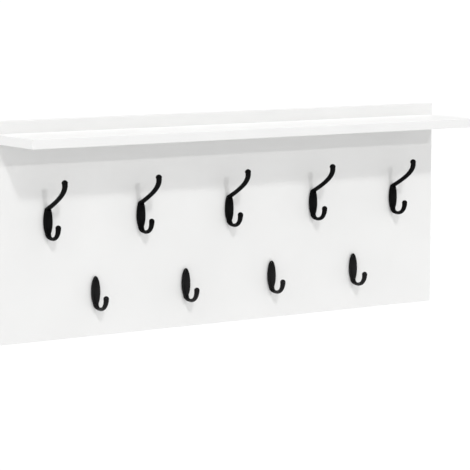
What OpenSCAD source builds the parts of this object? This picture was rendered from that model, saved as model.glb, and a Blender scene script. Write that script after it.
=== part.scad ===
// Wall hook rack: a white melamine-faced back panel with a shelf near its top edge, five
// double hooks in the upper row and four single hooks half a pitch along in the lower row.
//
// Frame: the origin is the middle of the back panel's back face, which lies on the wall.
// +X runs along the rack to the right as seen from the room, +Y points into the wall and
// +Z points up. All sizes are in millimetres.

/* [Rack] */
// Overall width of the panel and of the shelf
rack_w = 900; // [880:10:1100]
// Height of the back panel
panel_h = 370; // [360:1:450]
// Height of the shelf's underside above the panel's lower edge
shelf_h = 333; // [325:1:340]
// Thickness of both boards
board_t = 16; // [16:1:19]
// Depth of the shelf, measured from the wall
shelf_depth = 144; // [120:1:220]
// Thickness of the glued edge bands
band_t = 1; // [0.5:0.5:2]

/* [Hook rows] */
// Distance between neighbouring hooks of one row
hook_pitch = 179; // [150:1:180]
// Height of the double hooks' plate centres above the panel's lower edge
double_row_h = 200; // [190:0.5:210]
// Height of the single hooks' plate centres above the panel's lower edge
single_row_h = 75; // [60:0.5:90]

/* [Hook shape] */
// Widest width of a hook's plate
plate_w = 17; // [15:0.5:20]
// Thickness of a hook's plate
plate_t = 7; // [6.5:0.5:8]
// Height of a single hook's plate above its centre
plate_top = 27.5; // [24:0.5:32]
// Distance from the panel to the middle of the lower ball
lower_reach = 39.2; // [37:0.1:44]
// Diameter of the lower ball
lower_ball_d = 9.7; // [8:0.1:10]
// Distance from the panel to the middle of the upper arm's tip
upper_reach = 63; // [58:0.5:70]
// Height of the upper arm's tip centre above the plate's centre
upper_rise = 69.2; // [64:0.1:76]
// Diameter of the upper arm's rounded tip
upper_ball_d = 10.8; // [9:0.1:12]

/* [Fixings] */
// Distance between the two keyhole hangers
hanger_spacing = 600; // [500:10:640]
// Height of the hangers above the panel's lower edge
hanger_h = 275; // [250:1:290]

/* [Hidden] */

white = [0.94, 0.94, 0.93];
black = [0.06, 0.06, 0.065];
zinc = [0.72, 0.73, 0.75];
beech = [0.80, 0.66, 0.47];

// Facets of the holes, screws and fittings
$fn = 48;
// How much narrower a screw head is at its outer face. Its cross recess is given as
// [length, width, depth].
head_taper = 1.6;
// How far a cutting tool overshoots the face that it opens
over = 1;

// The panel's faces and edges in the rack's frame
panel_bottom = -panel_h / 2;
panel_top = panel_h / 2;
panel_front = -board_t;
shelf_bottom = panel_bottom + shelf_h;
shelf_middle = shelf_bottom + board_t / 2;
core_w = rack_w - 2 * band_t;

// M4 machine screws from the back of the panel hold each hook
screw_d = 4;
screw_len = 16;
screw_head_d = 8;
screw_head_h = 2.6;
screw_clear_d = 4.6;
counterbore_d = 10;
counterbore_depth = 5;
thread_depth = 5.5;
hook_screw_heights = [12, -10];
screw_recess = [4.4, 0.9, 1.4];

// Connecting screws and plain dowels, which hold the shelf's rear edge to the panel's front
shelf_screw_d = 6.4;
shelf_screw_len = 50;
shelf_screw_head_d = 10;
shelf_screw_head_h = 3;
shelf_screw_clear_d = 7;
shelf_counterbore_d = 11;
shelf_counterbore_depth = 4;
shelf_screw_recess = [5.6, 1.2, 2];
shelf_screw_positions = [-420, -140, 140, 420];
dowel_d = 8;
dowel_len = 30;
dowel_in_panel = 10;
dowel_positions = [-380, -100, 100, 380];

// Keyhole hangers let into the panel's back, and the pockets behind them
hanger_w = 46;
hanger_height = 22;
hanger_t = 2;
keyhole_d = 9.5;
keyhole_slot_w = 4.6;
keyhole_low = -4;
keyhole_rise = 8;
pocket_d = 11;
pocket_depth = 9;
hanger_screw_x = 16;
hanger_screw_d = 3.5;
hanger_screw_head_d = 6.6;
hanger_screw_head_h = 1.6;
hanger_screw_len = 12;
hanger_screw_point = 3;
hanger_screw_tip_d = 0.6;
hanger_screw_recess = [3.6, 0.7, 1.1];

double_count = 5;
single_count = 4;

// Places of a row's plate centres along X
function row_x(count) = [for (i = [0:count - 1]) (i - (count - 1) / 2) * hook_pitch];
double_x = row_x(double_count);
single_x = row_x(single_count);
double_z = panel_bottom + double_row_h;
single_z = panel_bottom + single_row_h;

// Hook castings.
// A hook is lofted through rings along its centre line, which lies in the plane of
// symmetry. A station of the centre line is [out, up, heading, width, thickness, square]:
// out is the distance from the panel, up the height above the plate's centre, heading the
// direction of travel (0 points out, 90 up), and square bends the section's outline from
// round (2) to boxy.

section_round = 2;
section_boxy = 2.8;
plate_mid = plate_t / 2;
plate_bottom = -19;
leaf_bottom = 23.5;
bend_d = 5.8;
bend_bottom = [16, -27.3];
ball_up = -7;
root_d = 7.1;
// The upper arm thickens towards its ball: 1 would be evenly, more is later
arm_growth = 1.5;
knee_up = 21.5;
knee_w = 11.3;

// How finely the castings are drawn: points in a ring, and rings in each stretch
ring_sides = 16;
ball_rings = 4;
leaf_rings = 8;
plate_rings = 4;
down_rings = 5;
up_rings = 6;
arm_rings = 8;
upper_plate_heights = [17, 11.5, 6];

function mix(a, b, t) = a + (b - a) * t;
function ease(t) = t * t * (3 - 2 * t);
function bezier(p, t) =
    pow(1 - t, 3) * p[0] + 3 * pow(1 - t, 2) * t * p[1]
    + 3 * (1 - t) * t * t * p[2] + t * t * t * p[3];
function bezier_heading(p, t) =
    let (d = pow(1 - t, 2) * (p[1] - p[0]) + 2 * (1 - t) * t * (p[2] - p[1])
         + t * t * (p[3] - p[2]))
    atan2(d[1], d[0]);

// One quadrant-wise power keeps the outline smooth while it turns from round to boxy
function bent(x, square) = sign(x) * pow(abs(x), 2 / square);

// A ring's points, cut off flat where they would sink into the panel
function ring(s) = [
    for (i = [0:ring_sides - 1])
        let (a = 360 * (i + 0.5) / ring_sides,
             side = s[3] / 2 * bent(cos(a), s[5]),
             lift = s[4] / 2 * bent(sin(a), s[5]))
        [side, -max(0, s[0] - lift * sin(s[2])), s[1] + lift * cos(s[2])]
];

// The rounded end of a round arm, seen as rings that shrink along a quarter circle
function ball_end(centre, heading, d) = [
    for (i = [0:ball_rings - 1])
        let (a = 90 * i / ball_rings)
        [centre[0] + d / 2 * sin(a) * cos(heading), centre[1] + d / 2 * sin(a) * sin(heading),
         heading, d * cos(a), d * cos(a), section_round]
];

// The same stations, travelled the other way
function turned_back(stations) = [
    for (i = [len(stations) - 1:-1:0])
        let (s = stations[i])
        [s[0], s[1], s[2] + 180, s[3], s[4], s[5]]
];

// Width of the leaf-shaped plate at a height, and a station of the plate there
function leaf_w(up) = plate_w * sqrt(1 - pow(up / (up > 0 ? plate_top : leaf_bottom), 2));
function plate_station(up) = [plate_mid, up, -90, leaf_w(up), plate_t, section_boxy];

// The plate's lower part and the J that grows out of it, shared by both kinds of hook
down_curve = [[plate_mid, plate_bottom], [plate_mid, -26], [14, bend_bottom[1]], bend_bottom];
up_curve = [bend_bottom, [34.5, bend_bottom[1]], [lower_reach, -15], [lower_reach, ball_up]];
function lower_stations() = concat(
    [for (i = [0:plate_rings - 1]) plate_station(mix(0, plate_bottom, i / plate_rings))],
    [for (i = [0:down_rings - 1])
        let (t = i / down_rings, p = bezier(down_curve, t), e = ease(t))
        [p[0], p[1], bezier_heading(down_curve, t), mix(leaf_w(plate_bottom), bend_d, e),
         mix(plate_t, bend_d, e), mix(section_boxy, section_round, e)]],
    [for (i = [0:up_rings - 1])
        let (t = i / up_rings, p = bezier(up_curve, t), d = mix(bend_d, lower_ball_d, t))
        [p[0], p[1], bezier_heading(up_curve, t), d, d, section_round]],
    ball_end([lower_reach, ball_up], 90, lower_ball_d)
);

// A single hook's plate starts as a point at its top and swells to its full width
function single_stations() = concat(
    [for (i = [1:leaf_rings - 1])
        let (a = 90 * i / leaf_rings)
        [plate_mid, plate_top * cos(a), -90, plate_w * sin(a), plate_t * sqrt(sin(a)),
         section_boxy]],
    lower_stations()
);

// A double hook's arm, from the panel out to its rounded tip. It is wide at its root, and
// it thickens towards the tip. Its first ring stands clear of the knee.
arm_curve = [[plate_mid, knee_up], [44.5, 40.8], [66.9, 54.6], [upper_reach, upper_rise]];
tip_neck_d = upper_ball_d - 1;
knee_heading = bezier_heading(arm_curve, 0);
tip_heading = bezier_heading(arm_curve, 1);
function arm_stations() = concat(
    [for (i = [1:arm_rings])
        let (t = i / (arm_rings + 0.5), p = bezier(arm_curve, t),
             d = mix(root_d, tip_neck_d, pow(t, arm_growth)))
        [p[0], p[1], bezier_heading(arm_curve, t), mix(knee_w, d, min(1, 4 * t)), d,
         section_round]],
    ball_end([upper_reach, upper_rise], tip_heading, upper_ball_d)
);

// The ring on the mitre of the sharp knee, where the arm's root turns down into the plate
knee_turn = (90 + knee_heading) / 2;
knee_station = [plate_mid, knee_up, knee_heading + 270 - knee_turn, knee_w,
                root_d / sin(knee_turn), section_round];

// A double hook runs from its upper tip down the arm to the knee, and on into the plate
function double_stations() = concat(
    turned_back(arm_stations()),
    [knee_station],
    [for (up = upper_plate_heights) plate_station(up)],
    lower_stations()
);

// Skins the rings of a list of stations and closes both ends with a pole point
module loft(stations, start_pole, end_pole) {
    rings = len(stations);
    points = concat([start_pole], [for (s = stations) each ring(s)], [end_pole]);
    last = rings * ring_sides + 1;
    function at(r, i) = 1 + r * ring_sides + i % ring_sides;
    faces = concat(
        [for (i = [0:ring_sides - 1]) [0, at(0, i + 1), at(0, i)]],
        [for (r = [0:rings - 2]) for (i = [0:ring_sides - 1])
            [at(r, i), at(r, i + 1), at(r + 1, i + 1)]],
        [for (r = [0:rings - 2]) for (i = [0:ring_sides - 1])
            [at(r, i), at(r + 1, i + 1), at(r + 1, i)]],
        [for (i = [0:ring_sides - 1]) [last, at(rings - 1, i), at(rings - 1, i + 1)]]
    );
    polyhedron(points = points, faces = faces, convexity = 6);
}

module hook_threads() {
    for (up = hook_screw_heights)
        translate([0, over, up])
            rotate([90, 0, 0])
                cylinder(d = screw_d, h = thread_depth + over);
}

lower_pole = [0, -lower_reach, ball_up + lower_ball_d / 2];
upper_pole = [0, -upper_reach - upper_ball_d / 2 * cos(tip_heading),
              upper_rise + upper_ball_d / 2 * sin(tip_heading)];
leaf_pole = [0, -plate_mid, plate_top];

module double_hook(number) {
    color(black)
        translate([double_x[number - 1], panel_front, double_z])
            difference() {
                loft(double_stations(), upper_pole, lower_pole);
                hook_threads();
            }
}

module single_hook(number) {
    color(black)
        translate([single_x[number - 1], panel_front, single_z])
            difference() {
                loft(single_stations(), leaf_pole, lower_pole);
                hook_threads();
            }
}

// Boards and bands.
// Drills the panel from its back: a clearance hole with a counterbore
module back_drilling(x, z, clear_d, bore_d, bore_depth) {
    translate([x, over, z])
        rotate([90, 0, 0]) {
            cylinder(d = clear_d, h = board_t + 2 * over);
            cylinder(d = bore_d, h = bore_depth + over);
        }
}

module hook_drillings(places, height) {
    for (x = places, up = hook_screw_heights)
        back_drilling(x, height + up, screw_clear_d, counterbore_d, counterbore_depth);
}

module shelf_drillings() {
    for (x = shelf_screw_positions)
        back_drilling(x, shelf_middle, shelf_screw_clear_d, shelf_counterbore_d,
                      shelf_counterbore_depth);
}

// Round rods along Y at the given places, all at the shelf's middle height
module rods(places, d, front, back) {
    for (x = places)
        translate([x, back, shelf_middle])
            rotate([90, 0, 0])
                cylinder(d = d, h = back - front);
}

dowel_back = panel_front + dowel_in_panel;
dowel_front = dowel_back - dowel_len;
shelf_screw_tip = -shelf_counterbore_depth - shelf_screw_len;

// The recess that takes a hanger flush, and the pocket for the wall screw's head
module hanger_recess(x) {
    translate([x, 0, panel_bottom + hanger_h]) {
        translate([0, -hanger_t, 0])
            hanger_outline(hanger_t + over);
        for (rise = [0, keyhole_rise])
            translate([0, over, keyhole_low + rise])
                rotate([90, 0, 0])
                    cylinder(d = pocket_d, h = pocket_depth + over);
        translate([-pocket_d / 2, -pocket_depth, keyhole_low])
            cube([pocket_d, pocket_depth + over, keyhole_rise]);
        for (side = [-1, 1])
            translate([side * hanger_screw_x, 0, 0])
                wood_screw_body();
    }
}

module back_panel() {
    color(white)
        difference() {
            translate([-core_w / 2, -board_t, panel_bottom + band_t])
                cube([core_w, board_t, panel_h - 2 * band_t]);
            hook_drillings(double_x, double_z);
            hook_drillings(single_x, single_z);
            shelf_drillings();
            rods(dowel_positions, dowel_d, panel_front - over, dowel_back);
            hanger_recess(-hanger_spacing / 2);
            hanger_recess(hanger_spacing / 2);
        }
}

// A band on the left (-1) or right (1) end of a board
module end_band(side, front, back, bottom, height) {
    translate([side * (rack_w - band_t) / 2 - band_t / 2, front, bottom])
        cube([band_t, back - front, height]);
}

module panel_band_side(side) {
    color(white)
        end_band(side, panel_front, 0, panel_bottom, panel_h);
}

// A band on the panel's lower or upper edge
module panel_band_level(bottom) {
    color(white)
        translate([-core_w / 2, panel_front, bottom])
            cube([core_w, board_t, band_t]);
}

module shelf_board() {
    color(white)
        difference() {
            translate([-core_w / 2, band_t - shelf_depth, shelf_bottom])
                cube([core_w, shelf_depth - board_t - band_t, board_t]);
            rods(shelf_screw_positions, shelf_screw_d, shelf_screw_tip - over,
                 panel_front + over);
            rods(dowel_positions, dowel_d, dowel_front, panel_front + over);
        }
}

module shelf_band_front() {
    color(white)
        translate([-core_w / 2, -shelf_depth, shelf_bottom])
            cube([core_w, band_t, board_t]);
}

module shelf_band_side(side) {
    color(white)
        end_band(side, -shelf_depth, panel_front, shelf_bottom, board_t);
}

// Screws and fittings.
// Cuts a cross recess into a face on the XZ plane that looks towards +Y
module cross_recess(size) {
    for (turn = [0, 90])
        rotate([0, turn, 0])
            translate([-size[0] / 2, -size[2], -size[1] / 2])
                cube([size[0], size[2] + over, size[1]]);
}

// A flat-headed screw with a cross recess; its head stands on the XZ plane and faces +Y
module headed_screw(d, length, head_d, head_h, recess) {
    difference() {
        rotate([90, 0, 0]) {
            cylinder(d = d, h = length);
            translate([0, 0, -head_h])
                cylinder(d1 = head_d - head_taper, d2 = head_d, h = head_h);
        }
        translate([0, head_h, 0])
            cross_recess(recess);
    }
}

module row_screws(places, height) {
    color(zinc)
        for (x = places, up = hook_screw_heights)
            translate([x, -counterbore_depth, height + up])
                headed_screw(screw_d, screw_len, screw_head_d, screw_head_h, screw_recess);
}

module shelf_screws() {
    color(zinc)
        for (x = shelf_screw_positions)
            translate([x, -shelf_counterbore_depth, shelf_middle])
                headed_screw(shelf_screw_d, shelf_screw_len, shelf_screw_head_d,
                             shelf_screw_head_h, shelf_screw_recess);
}

module dowels() {
    color(beech)
        rods(dowel_positions, dowel_d, dowel_front, dowel_back);
}

// The hanger's outline with round ends, standing on the wall plane
module hanger_outline(thickness) {
    rotate([90, 0, 0])
        translate([0, 0, -thickness])
            linear_extrude(thickness)
                union() {
                    square([hanger_w - hanger_height, hanger_height], center = true);
                    for (side = [-1, 1])
                        translate([side * (hanger_w - hanger_height) / 2, 0])
                            circle(d = hanger_height);
                }
}

module hanger(x) {
    color(zinc)
        translate([x, -hanger_t, panel_bottom + hanger_h])
            difference() {
                hanger_outline(hanger_t);
                rotate([90, 0, 0])
                    translate([0, keyhole_low, -hanger_t - over]) {
                        cylinder(d = keyhole_d, h = hanger_t + 2 * over);
                        translate([0, keyhole_rise, 0])
                            cylinder(d = keyhole_slot_w, h = hanger_t + 2 * over);
                        translate([-keyhole_slot_w / 2, 0, 0])
                            cube([keyhole_slot_w, keyhole_rise, hanger_t + 2 * over]);
                    }
                for (side = [-1, 1])
                    translate([side * hanger_screw_x, hanger_t, 0])
                        wood_screw_body();
            }
}

// A countersunk wood screw with its head's face on the XZ plane, pointing towards -Y
module wood_screw_body() {
    rotate([90, 0, 0]) {
        cylinder(d1 = hanger_screw_head_d, d2 = hanger_screw_d, h = hanger_screw_head_h);
        cylinder(d = hanger_screw_d, h = hanger_screw_len - hanger_screw_point);
        translate([0, 0, hanger_screw_len - hanger_screw_point])
            cylinder(d1 = hanger_screw_d, d2 = hanger_screw_tip_d, h = hanger_screw_point);
    }
}

module hanger_screws() {
    color(zinc)
        for (x = [-1, 1] * hanger_spacing / 2, side = [-1, 1])
            translate([x + side * hanger_screw_x, 0, panel_bottom + hanger_h])
                difference() {
                    wood_screw_body();
                    cross_recess(hanger_screw_recess);
                }
}

back_panel();
panel_band_side(-1);  // panel_band_left
panel_band_side(1);  // panel_band_right
panel_band_level(panel_bottom);  // panel_band_bottom
panel_band_level(panel_top - band_t);  // panel_band_top
shelf_board();
shelf_band_front();
shelf_band_side(-1);  // shelf_band_left
shelf_band_side(1);  // shelf_band_right
double_hook(1);  // double_hook_1
double_hook(2);  // double_hook_2
double_hook(3);  // double_hook_3
double_hook(4);  // double_hook_4
double_hook(5);  // double_hook_5
single_hook(1);  // single_hook_1
single_hook(2);  // single_hook_2
single_hook(3);  // single_hook_3
single_hook(4);  // single_hook_4
row_screws(double_x, double_z);  // double_hook_screws
row_screws(single_x, single_z);  // single_hook_screws
shelf_screws();
dowels();
hanger(-hanger_spacing / 2);  // hanger_left
hanger(hanger_spacing / 2);  // hanger_right
hanger_screws();
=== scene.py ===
import math
from collections import namedtuple

import bmesh
import bpy
from mathutils import Matrix, Vector


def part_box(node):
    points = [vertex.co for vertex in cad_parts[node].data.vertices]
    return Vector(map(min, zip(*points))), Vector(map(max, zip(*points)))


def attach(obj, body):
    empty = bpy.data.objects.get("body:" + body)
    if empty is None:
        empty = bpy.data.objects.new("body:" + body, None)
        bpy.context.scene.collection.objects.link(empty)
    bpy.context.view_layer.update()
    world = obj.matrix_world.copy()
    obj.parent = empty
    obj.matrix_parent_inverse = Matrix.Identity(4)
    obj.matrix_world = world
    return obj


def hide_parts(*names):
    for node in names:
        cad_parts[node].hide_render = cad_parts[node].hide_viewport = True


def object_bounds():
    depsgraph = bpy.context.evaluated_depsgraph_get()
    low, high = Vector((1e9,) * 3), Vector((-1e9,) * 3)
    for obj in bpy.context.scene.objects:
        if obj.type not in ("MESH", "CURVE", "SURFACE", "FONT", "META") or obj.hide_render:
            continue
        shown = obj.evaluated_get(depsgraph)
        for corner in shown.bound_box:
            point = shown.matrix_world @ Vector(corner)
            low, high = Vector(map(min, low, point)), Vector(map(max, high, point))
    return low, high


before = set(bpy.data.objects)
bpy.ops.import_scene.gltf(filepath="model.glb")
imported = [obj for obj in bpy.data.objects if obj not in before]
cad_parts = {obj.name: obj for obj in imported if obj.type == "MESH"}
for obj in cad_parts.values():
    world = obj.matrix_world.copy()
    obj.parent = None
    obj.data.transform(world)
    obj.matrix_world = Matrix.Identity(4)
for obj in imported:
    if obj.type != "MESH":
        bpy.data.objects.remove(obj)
cad_low, cad_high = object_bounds()

MM = 0.001
BODY = "root"
DOUBLE_HOOKS = [f"double_hook_{n}" for n in range(1, 6)]
SINGLE_HOOKS = [f"single_hook_{n}" for n in range(1, 5)]
ZINC_NODES = ["double_hook_screws", "single_hook_screws", "shelf_screws",
              "hanger_left", "hanger_right", "hanger_screws"]


# ---------------------------------------------------------------- node materials

# Most of a noise texture's values lie between these
NOISE_LOW = 0.35
NOISE_HIGH = 0.65


class Shader:
    """A Principled material under construction, and short ways to add nodes to it.

    Textures use the object's coordinates in metres, so a scale is about that many features
    to the metre.
    """

    def __init__(self, name, **constants):
        self.material = bpy.data.materials.new(name)
        self.material.use_nodes = True
        self.tree = self.material.node_tree
        self.principled = self.tree.nodes["Principled BSDF"]
        for socket, value in constants.items():
            self.principled.inputs[socket].default_value = value
        self.place = self.node("ShaderNodeTexCoord").outputs["Object"]

    def node(self, kind, inputs=None, **settings):
        made = self.tree.nodes.new(kind)
        for name, value in settings.items():
            setattr(made, name, value)
        for key, value in (inputs or {}).items():
            self.feed(made.inputs[key], value)
        return made

    def feed(self, socket, value):
        """Links a node's output to the socket, or sets the socket to a constant."""
        if isinstance(value, bpy.types.NodeSocket):
            self.tree.links.new(value, socket)
        else:
            socket.default_value = value

    def stretched(self, scale):
        """The object's coordinates, scaled apart along each axis."""
        inputs = {"Vector": self.place, "Scale": scale}
        return self.node("ShaderNodeMapping", inputs).outputs["Vector"]

    def noise(self, scale, detail=2.0, place=None):
        inputs = {"Vector": place or self.place, "Scale": scale, "Detail": detail}
        return self.node("ShaderNodeTexNoise", inputs).outputs["Fac"]

    def cells(self, scale, place):
        """Random grey of each cell in a cell pattern, and the distance from its middle."""
        made = self.node("ShaderNodeTexVoronoi", {"Vector": place, "Scale": scale})
        split = self.node("ShaderNodeSeparateColor", {"Color": made.outputs["Color"]})
        return split.outputs["Red"], made.outputs["Distance"]

    def math(self, operation, a, b):
        return self.node("ShaderNodeMath", {0: a, 1: b}, operation=operation).outputs["Value"]

    def either(self, share, a, b):
        """Value a where share is 0, and b where it is 1."""
        inputs = {"Value": share, "To Min": a, "To Max": b}
        return self.node("ShaderNodeMapRange", inputs).outputs["Result"]

    def spread(self, noise, low, high):
        """A noise, stretched to fill low .. high."""
        inputs = {"Value": noise, "From Min": NOISE_LOW, "From Max": NOISE_HIGH,
                  "To Min": low, "To Max": high}
        return self.node("ShaderNodeMapRange", inputs).outputs["Result"]

    def mix(self, share, a, b):
        """Colour a where share is 0, and b where it is 1."""
        made = self.node("ShaderNodeMix", data_type="RGBA")
        # The node's sockets share names, so its colour sockets are taken by number
        factor, colour_a, colour_b, colour_out = 0, 6, 7, 2
        self.feed(made.inputs[factor], share)
        self.feed(made.inputs[colour_a], a)
        self.feed(made.inputs[colour_b], b)
        return made.outputs[colour_out]

    def cloudy(self, noise, a, b):
        """Colours a and b in soft patches."""
        return self.mix(self.spread(noise, 0.0, 1.0), a, b)

    def bump(self, height, distance):
        inputs = {"Height": height, "Distance": distance}
        return self.node("ShaderNodeBump", inputs).outputs["Normal"]

    def finish(self, colour, roughness, normal):
        self.feed(self.principled.inputs["Base Color"], colour)
        self.feed(self.principled.inputs["Roughness"], roughness)
        self.feed(self.principled.inputs["Normal"], normal)
        return self.material


def rgb(red, green, blue):
    return (red, green, blue, 1.0)


FACE_WHITE = rgb(0.72, 0.72, 0.715)
FACE_SHADE = rgb(0.70, 0.70, 0.695)
CHIP_DARK = rgb(0.30, 0.19, 0.10)
CHIP_LIGHT = rgb(0.62, 0.46, 0.29)
BAND_WHITE = rgb(0.715, 0.715, 0.71)
BAND_SHADE = rgb(0.70, 0.70, 0.697)
COAT_BLACK = rgb(0.002, 0.002, 0.0022)
COAT_SHADE = rgb(0.005, 0.005, 0.0053)
ZINC_BLUE = rgb(0.42, 0.44, 0.47)
ZINC_YELLOW = rgb(0.50, 0.49, 0.45)
BEECH_DARK = rgb(0.58, 0.42, 0.26)
BEECH_LIGHT = rgb(0.72, 0.56, 0.38)
FLOOR_WHITE = rgb(0.73, 0.73, 0.73)

# A low index keeps the white studio's mirror image in the coat faint. Both rows are one coat: the
# upper row's lower index is painted shade, a fainter reflection that makes that row darker.
DOUBLE_COAT_IOR = 1.10
SINGLE_COAT_IOR = 1.22


def melamine(name, axis, low, high):
    """White melamine on the faces at low and high along the axis, raw chipboard between them."""
    skin = 0.15 * MM
    pearl_relief, chip_relief = 0.06, 0.8
    chip_roughness = 0.85
    s = Shader(name)
    along = s.node("ShaderNodeSeparateXYZ", {"Vector": s.place}).outputs[axis]
    above_low = s.math("GREATER_THAN", along, low + skin)
    below_high = s.math("LESS_THAN", along, high - skin)
    inside = s.math("MULTIPLY", above_low, below_high)

    face = s.cloudy(s.noise(scale=6.0, detail=3.0), FACE_WHITE, FACE_SHADE)
    pearl = s.noise(scale=1100.0)
    chip_shade, chip_edge = s.cells(scale=420.0, place=s.stretched((0.55, 1.0, 1.0)))
    chips = s.mix(chip_shade, CHIP_DARK, CHIP_LIGHT)
    relief = s.either(inside, s.math("MULTIPLY", pearl, pearl_relief),
                      s.math("MULTIPLY", chip_edge, chip_relief))
    roughness = s.either(inside, s.spread(pearl, 0.38, 0.46), chip_roughness)
    return s.finish(s.mix(inside, face, chips), roughness, s.bump(relief, 0.3 * MM))


def edge_band():
    """Plastic edging: a shade glossier than the board, with a faint lengthwise drawing texture."""
    s = Shader("white_edge_band")
    colour = s.cloudy(s.noise(scale=9.0), BAND_WHITE, BAND_SHADE)
    grain = s.noise(scale=700.0, place=s.stretched((0.2, 1.0, 0.2)))
    roughness = s.spread(grain, 0.32, 0.40)
    return s.finish(colour, roughness, s.bump(grain, 0.02 * MM))


def powder_coat(name, ior):
    """Satin black powder coat with a fine orange-peel skin."""
    s = Shader(name, IOR=ior)
    cloud = s.noise(scale=60.0, detail=3.0)
    peel = s.noise(scale=900.0)
    colour = s.cloudy(cloud, COAT_BLACK, COAT_SHADE)
    roughness = s.spread(cloud, 0.19, 0.25)
    return s.finish(colour, roughness, s.bump(peel, 0.04 * MM))


def zinc_plate():
    """Bright zinc plating, faintly clouded blue and yellow."""
    s = Shader("zinc_plate", Metallic=1.0)
    colour = s.cloudy(s.noise(scale=260.0, detail=3.0), ZINC_BLUE, ZINC_YELLOW)
    scratch = s.noise(scale=1600.0, detail=3.0, place=s.stretched((1.0, 1.0, 0.15)))
    roughness = s.spread(scratch, 0.22, 0.36)
    return s.finish(colour, roughness, s.bump(scratch, 0.02 * MM))


def beech():
    """Bare beech with fine grain along Y."""
    s = Shader("beech")
    grain = s.noise(scale=500.0, detail=4.0, place=s.stretched((1.0, 0.08, 1.0)))
    colour = s.cloudy(grain, BEECH_DARK, BEECH_LIGHT)
    roughness = s.spread(grain, 0.55, 0.7)
    return s.finish(colour, roughness, s.bump(grain, 0.06 * MM))


def plain_floor():
    s = Shader("pale_floor")
    soft = s.noise(scale=3.0)
    roughness = s.spread(soft, 0.75, 0.8)
    return s.finish(FLOOR_WHITE, roughness, s.bump(soft, 0.1 * MM))


# ---------------------------------------------------------------- pieces

def new_piece(name, mesh, material, slot, *nodes):
    """Links a mesh as a piece that rides on the rack and stands for the named CAD nodes.

    Pieces may share a mesh, which takes its material with the first of them.
    """
    piece = bpy.data.objects.new(name, mesh)
    bpy.context.scene.collection.objects.link(piece)
    if not mesh.materials:
        mesh.materials.append(material)
    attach(piece, BODY)
    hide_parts(*nodes)
    return piece


def mesh_from(name, bm, smooth=True):
    bmesh.ops.recalc_face_normals(bm, faces=bm.faces)
    mesh = bpy.data.meshes.new(name)
    bm.to_mesh(mesh)
    bm.free()
    if smooth:
        mesh.shade_smooth()
    else:
        mesh.shade_flat()
    return mesh


# ---------------------------------------------------------------- hooks
# A hook is lofted through rings along its centre line, in the plane of symmetry. Sizes are in
# millimetres: out from the panel, up from the plate's centre. A heading is in radians, 0 straight
# out and a quarter turn up. A section is round at square 2 and boxier above it.

Station = namedtuple("Station", "out up heading width thick square")

ROUND = 2.0
BOXY = 2.8
UP = math.pi / 2
DOWN = -UP

# The plate: a leaf with a longer upper half, which the J leaves at plate_end
PLATE_W = 17.0
PLATE_T = 7.0
PLATE_MID = PLATE_T / 2
PLATE_TOP = 27.5
PLATE_END = -19.0
LEAF_BOTTOM = 23.5

# The J: down into its bend, and up to its ball
BEND = (16.0, -27.3)
BEND_D = 5.8
BALL_UP = -7.0
LOWER_REACH = 39.2
LOWER_BALL_D = 9.7

# The upper arm: wide and flat where it leaves the plate at the knee, round after FLARE of its
# length, and thicker towards its ball. A growth of 1 would thicken it evenly, more is later.
KNEE_UP = 21.5
KNEE_W = 11.3
KNEE_GAP = 2.0
ROOT_D = 7.1
FLARE = 0.25
ARM_GROWTH = 1.5
UPPER_REACH = 63.0
UPPER_RISE = 69.2
UPPER_BALL_D = 10.8
TIP_NECK_D = UPPER_BALL_D - 1

DOWN_CURVE = [(PLATE_MID, PLATE_END), (PLATE_MID, -26.0), (14.0, BEND[1]), BEND]
UP_CURVE = [BEND, (34.5, BEND[1]), (LOWER_REACH, -15.0), (LOWER_REACH, BALL_UP)]
ARM_CURVE = [(PLATE_MID, KNEE_UP), (44.5, 40.8), (66.9, 54.6), (UPPER_REACH, UPPER_RISE)]

# Points in a ring, and rings in each stretch
RING_SIDES = 40
BALL_RINGS = 9
LEAF_RINGS = 24
SINGLE_PLATE_RINGS = 15
DOUBLE_PLATE_RINGS = 30
DOWN_RINGS = 16
UP_RINGS = 24
ARM_RINGS = 48


def blend(a, b, t):
    return a + (b - a) * t


def bezier(points, t):
    """Point on a cubic curve, and its heading."""
    p = [Vector(q) for q in points]
    u = 1 - t
    at = u ** 3 * p[0] + 3 * u * u * t * p[1] + 3 * u * t * t * p[2] + t ** 3 * p[3]
    to = u * u * (p[1] - p[0]) + 2 * u * t * (p[2] - p[1]) + t * t * (p[3] - p[2])
    return at, math.atan2(to.y, to.x)


KNEE_HEADING = bezier(ARM_CURVE, 0.0)[1]
TIP_HEADING = bezier(ARM_CURVE, 1.0)[1]


def leaf_width(up):
    end = PLATE_TOP if up > 0 else LEAF_BOTTOM
    return PLATE_W * math.sqrt(1 - (up / end) ** 2)


def ball_end(centre, heading, diameter):
    """Stations that close a round arm along a quarter circle."""
    made = []
    for i in range(BALL_RINGS):
        turn = math.pi / 2 * i / BALL_RINGS
        shift = diameter / 2 * math.sin(turn)
        width = diameter * math.cos(turn)
        made.append(Station(centre[0] + shift * math.cos(heading),
                            centre[1] + shift * math.sin(heading),
                            heading, width, width, ROUND))
    return made


def plate_stations(start, count):
    """The plate from a height down to where the J begins."""
    heights = [blend(start, PLATE_END, i / count) for i in range(count)]
    return [Station(PLATE_MID, up, DOWN, leaf_width(up), PLATE_T, BOXY) for up in heights]


def j_stations():
    """The J: down from the plate into the bend, and up to its ball."""
    made = []
    for i in range(DOWN_RINGS):
        t = i / DOWN_RINGS
        ease = t * t * (3 - 2 * t)
        at, heading = bezier(DOWN_CURVE, t)
        made.append(Station(at.x, at.y, heading, blend(leaf_width(PLATE_END), BEND_D, ease),
                            blend(PLATE_T, BEND_D, ease), blend(BOXY, ROUND, ease)))
    for i in range(UP_RINGS):
        t = i / UP_RINGS
        at, heading = bezier(UP_CURVE, t)
        thick = blend(BEND_D, LOWER_BALL_D, t)
        made.append(Station(at.x, at.y, heading, thick, thick, ROUND))
    return made + ball_end((LOWER_REACH, BALL_UP), UP, LOWER_BALL_D)


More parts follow.
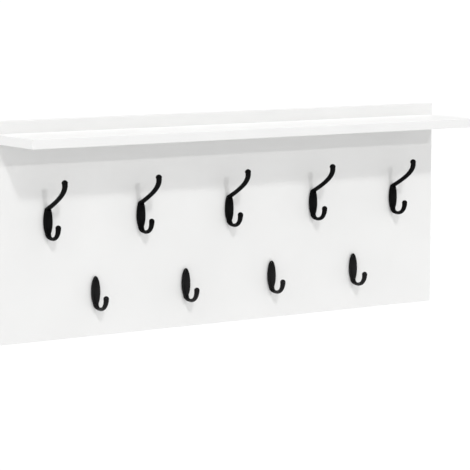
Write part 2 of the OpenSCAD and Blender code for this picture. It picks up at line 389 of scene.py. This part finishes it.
def single_stations():
    """A leaf-shaped plate that starts as a point at its top, and the J."""
    made = []
    for i in range(1, LEAF_RINGS):
        turn = math.pi / 2 * i / LEAF_RINGS
        made.append(Station(PLATE_MID, PLATE_TOP * math.cos(turn), DOWN,
                            PLATE_W * math.sin(turn), PLATE_T * math.sqrt(math.sin(turn)), BOXY))
    return made + plate_stations(0.0, SINGLE_PLATE_RINGS) + j_stations()


def arm_stations():
    """The upper arm, from just past the knee out to its tip."""
    made = []
    for i in range(1, ARM_RINGS):
        t = i / ARM_RINGS
        at, heading = bezier(ARM_CURVE, t)
        thick = blend(ROOT_D, TIP_NECK_D, t ** ARM_GROWTH)
        width = blend(KNEE_W, thick, min(1.0, t / FLARE))
        made.append(Station(at.x, at.y, heading, width, thick, ROUND))
    return made + ball_end((UPPER_REACH, UPPER_RISE), TIP_HEADING, UPPER_BALL_D)


def double_stations():
    """The upper arm from its tip down to the knee on the panel, the plate and the J."""
    arm = [s._replace(heading=s.heading + math.pi) for s in reversed(arm_stations())]
    # The ring in the knee is mitred halfway between the arm and the plate
    half_turn = (UP + KNEE_HEADING) / 2
    knee = Station(PLATE_MID, KNEE_UP, KNEE_HEADING + math.pi + UP - half_turn, KNEE_W,
                   ROOT_D / math.sin(half_turn), ROUND)
    plate = plate_stations(KNEE_UP - KNEE_GAP, DOUBLE_PLATE_RINGS)
    return [*arm, knee, *plate, *j_stations()]


def ring(station):
    """Points round a station, cut off flat where they would sink into the panel."""
    points = []
    for i in range(RING_SIDES):
        turn = 2 * math.pi * (i + 0.5) / RING_SIDES
        side, lift = (math.copysign(abs(x) ** (2 / station.square), x) * size / 2
                      for x, size in ((math.cos(turn), station.width),
                                      (math.sin(turn), station.thick)))
        depth = max(0.0, station.out - lift * math.sin(station.heading))
        points.append(Vector((side, -depth, station.up + lift * math.cos(station.heading))) * MM)
    return points


def hook_mesh(name, stations, first_pole):
    """Skins the rings of the stations and closes both ends with a fan round a pole point."""
    bm = bmesh.new()
    rings = [[bm.verts.new(p) for p in ring(s)] for s in stations]
    last_pole = (LOWER_REACH, BALL_UP + LOWER_BALL_D / 2)
    poles = [bm.verts.new(Vector((0.0, -out, up)) * MM) for out, up in (first_pole, last_pole)]
    for i in range(RING_SIDES):
        j = (i + 1) % RING_SIDES
        for a, b in zip(rings, rings[1:]):
            bm.faces.new((a[i], a[j], b[j], b[i]))
        for pole, end in zip(poles, (rings[0], rings[-1])):
            bm.faces.new((pole, end[i], end[j]))
    return mesh_from(name, bm)


def place_hooks(names, mesh, material):
    """Every hook of a row shares one mesh and stands where its CAD node does."""
    low_end = min(v.co.z for v in mesh.vertices)
    for name in names:
        low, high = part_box(name)
        piece = new_piece(f"{name}_casting", mesh, material, "black_hook", name)
        piece.matrix_world = Matrix.Translation(((low.x + high.x) / 2, high.y, low.z - low_end))


def place_all_hooks():
    arm_pole = (UPPER_REACH + UPPER_BALL_D / 2 * math.cos(TIP_HEADING),
                UPPER_RISE + UPPER_BALL_D / 2 * math.sin(TIP_HEADING))
    leaf_pole = (PLATE_MID, PLATE_TOP)
    place_hooks(DOUBLE_HOOKS, hook_mesh("double_casting", double_stations(), arm_pole),
                powder_coat("double_hook_coat", DOUBLE_COAT_IOR))
    place_hooks(SINGLE_HOOKS, hook_mesh("single_casting", single_stations(), leaf_pole),
                powder_coat("single_hook_coat", SINGLE_COAT_IOR))


# ---------------------------------------------------------------- edge bands

BAND_ROUNDING = 0.8 * MM
BAND_SEGMENTS = 5
# Blender's bevel profile for a circular arc, and how near a corner is to a face it lies on
ARC_PROFILE = 0.5
SAME_LEVEL = 1e-7


def band_mesh(name, node, outer, rounded):
    """A strip whose outer face has round edges towards the sides in rounded.

    A side is (axis, sign), with -1 for the low face and 1 for the high one.
    """
    low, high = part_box(node)
    bm = bmesh.new()
    bmesh.ops.create_cube(bm, size=1.0)
    for v in bm.verts:
        v.co = Vector([low[k] if v.co[k] < 0 else high[k] for k in range(3)])

    def on(edge, side):
        axis, sign = side
        level = (low if sign < 0 else high)[axis]
        return all(abs(v.co[axis] - level) < SAME_LEVEL for v in edge.verts)

    soft = [e for e in bm.edges if on(e, outer) and any(on(e, side) for side in rounded)]
    bmesh.ops.bevel(bm, geom=soft, offset=BAND_ROUNDING, segments=BAND_SEGMENTS,
                    profile=ARC_PROFILE, affect="EDGES", clamp_overlap=True)
    return mesh_from(name, bm, smooth=False)


X, Y, Z = range(3)

# Each band's outer side, and the sides towards which that side's edges are round
BANDS = {
    "panel_band_left": ((X, -1), [(Y, -1), (Y, 1), (Z, -1), (Z, 1)]),
    "panel_band_right": ((X, 1), [(Y, -1), (Y, 1), (Z, -1), (Z, 1)]),
    "panel_band_bottom": ((Z, -1), [(Y, -1), (Y, 1)]),
    "panel_band_top": ((Z, 1), [(Y, -1), (Y, 1)]),
    "shelf_band_front": ((Y, -1), [(Z, -1), (Z, 1)]),
    "shelf_band_left": ((X, -1), [(Z, -1), (Z, 1), (Y, -1)]),
    "shelf_band_right": ((X, 1), [(Z, -1), (Z, 1), (Y, -1)]),
}


def place_bands():
    material = edge_band()
    for node, (outer, rounded) in BANDS.items():
        mesh = band_mesh(f"{node}_mesh", node, outer, rounded)
        new_piece(f"{node}_strip", mesh, material, "white_edge_band", node)


# ---------------------------------------------------------------- boards, screws and fittings

def dress(node, material):
    """Gives a CAD node that stays a better material."""
    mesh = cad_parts[node].data
    mesh.materials.clear()
    mesh.materials.append(material)


def dress_cad_nodes():
    panel_low, panel_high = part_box("back_panel")
    shelf_low, shelf_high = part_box("shelf_board")
    dress("back_panel", melamine("panel_board", "Y", panel_low.y, panel_high.y))
    dress("shelf_board", melamine("shelf_board", "Z", shelf_low.z, shelf_high.z))
    zinc = zinc_plate()
    for node in ZINC_NODES:
        dress(node, zinc)
    dress("dowels", beech())


# ---------------------------------------------------------------- stage, light and camera

FLOOR_DROP = 1.2
FLOOR_HALF = 200.0


def place_floor():
    bm = bmesh.new()
    bmesh.ops.create_grid(bm, x_segments=4, y_segments=4, size=FLOOR_HALF)
    bmesh.ops.translate(bm, verts=bm.verts, vec=(0, 0, cad_low.z - FLOOR_DROP))
    floor = bpy.data.objects.new("floor", mesh_from("floor", bm, smooth=False))
    bpy.context.scene.collection.objects.link(floor)
    floor.data.materials.append(plain_floor())


# The dome's brightness in a direction (x, y, z): the level, plus the slope times the direction,
# plus the sides times its square
SKY_LEVEL = 0.46
SKY_SLOPE = (-0.40, 0.0, 0.14)
SKY_SIDES = (0.75, 0.0, 0.0)


def place_sky():
    """A studio dome, bright at both sides and brightest towards the left and the top."""
    world = bpy.data.worlds.new("studio")
    world.use_nodes = True
    nodes, links = world.node_tree.nodes, world.node_tree.links

    def combined(kind, operation, a, b, output):
        made = nodes.new(kind)
        made.operation = operation
        links.new(a, made.inputs[0])
        if isinstance(b, bpy.types.NodeSocket):
            links.new(b, made.inputs[1])
        else:
            made.inputs[1].default_value = b
        return made.outputs[output]

    direction = nodes.new("ShaderNodeTexCoord").outputs["Generated"]
    squared = combined("ShaderNodeVectorMath", "MULTIPLY", direction, direction, "Vector")
    slope = combined("ShaderNodeVectorMath", "DOT_PRODUCT", direction, SKY_SLOPE, "Value")
    sides = combined("ShaderNodeVectorMath", "DOT_PRODUCT", squared, SKY_SIDES, "Value")
    uneven = combined("ShaderNodeMath", "ADD", slope, sides, "Value")
    level = combined("ShaderNodeMath", "ADD", uneven, SKY_LEVEL, "Value")
    background = nodes["Background"]
    background.inputs["Color"].default_value = rgb(1.0, 1.0, 1.0)
    links.new(level, background.inputs["Strength"])
    bpy.context.scene.world = world


def place_sun(name, travel, strength, angle):
    """A distant lamp whose light travels along a direction, and its width in degrees."""
    data = bpy.data.lights.new(name, "SUN")
    data.energy = strength
    data.angle = math.radians(angle)
    lamp = bpy.data.objects.new(name, data)
    lamp.rotation_euler = Vector(travel).to_track_quat("-Z", "Y").to_euler()
    bpy.context.scene.collection.objects.link(lamp)


def place_light():
    place_sky()
    place_sun("low_key", travel=(-0.09, 1.44, -0.42), strength=0.50, angle=1.8)
    place_sun("high_key", travel=(0.46, 1.44, -1.07), strength=0.78, angle=4.5)
    place_sun("overhead", travel=(0.0, 0.0, -1.0), strength=1.75, angle=20.0)


# The camera stands left of the rack and looks right and slightly down, in degrees. The lens is
# in millimetres.
CAMERA_PLACE = (-2.027, -3.152, 0.430)
CAMERA_YAW = 33.06
CAMERA_DIP = 7.04
CAMERA_LENS = 164.5


def place_camera():
    data = bpy.data.cameras.new("camera")
    data.lens = CAMERA_LENS
    data.clip_end = 4 * FLOOR_HALF
    camera = bpy.data.objects.new("camera", data)
    camera.location = CAMERA_PLACE
    camera.rotation_euler = (math.radians(90 - CAMERA_DIP), 0.0, math.radians(-CAMERA_YAW))
    bpy.context.scene.collection.objects.link(camera)
    bpy.context.scene.camera = camera


place_camera()
place_light()
place_floor()
place_all_hooks()
place_bands()
dress_cad_nodes()
bpy.context.scene.view_settings.view_transform = "Standard"
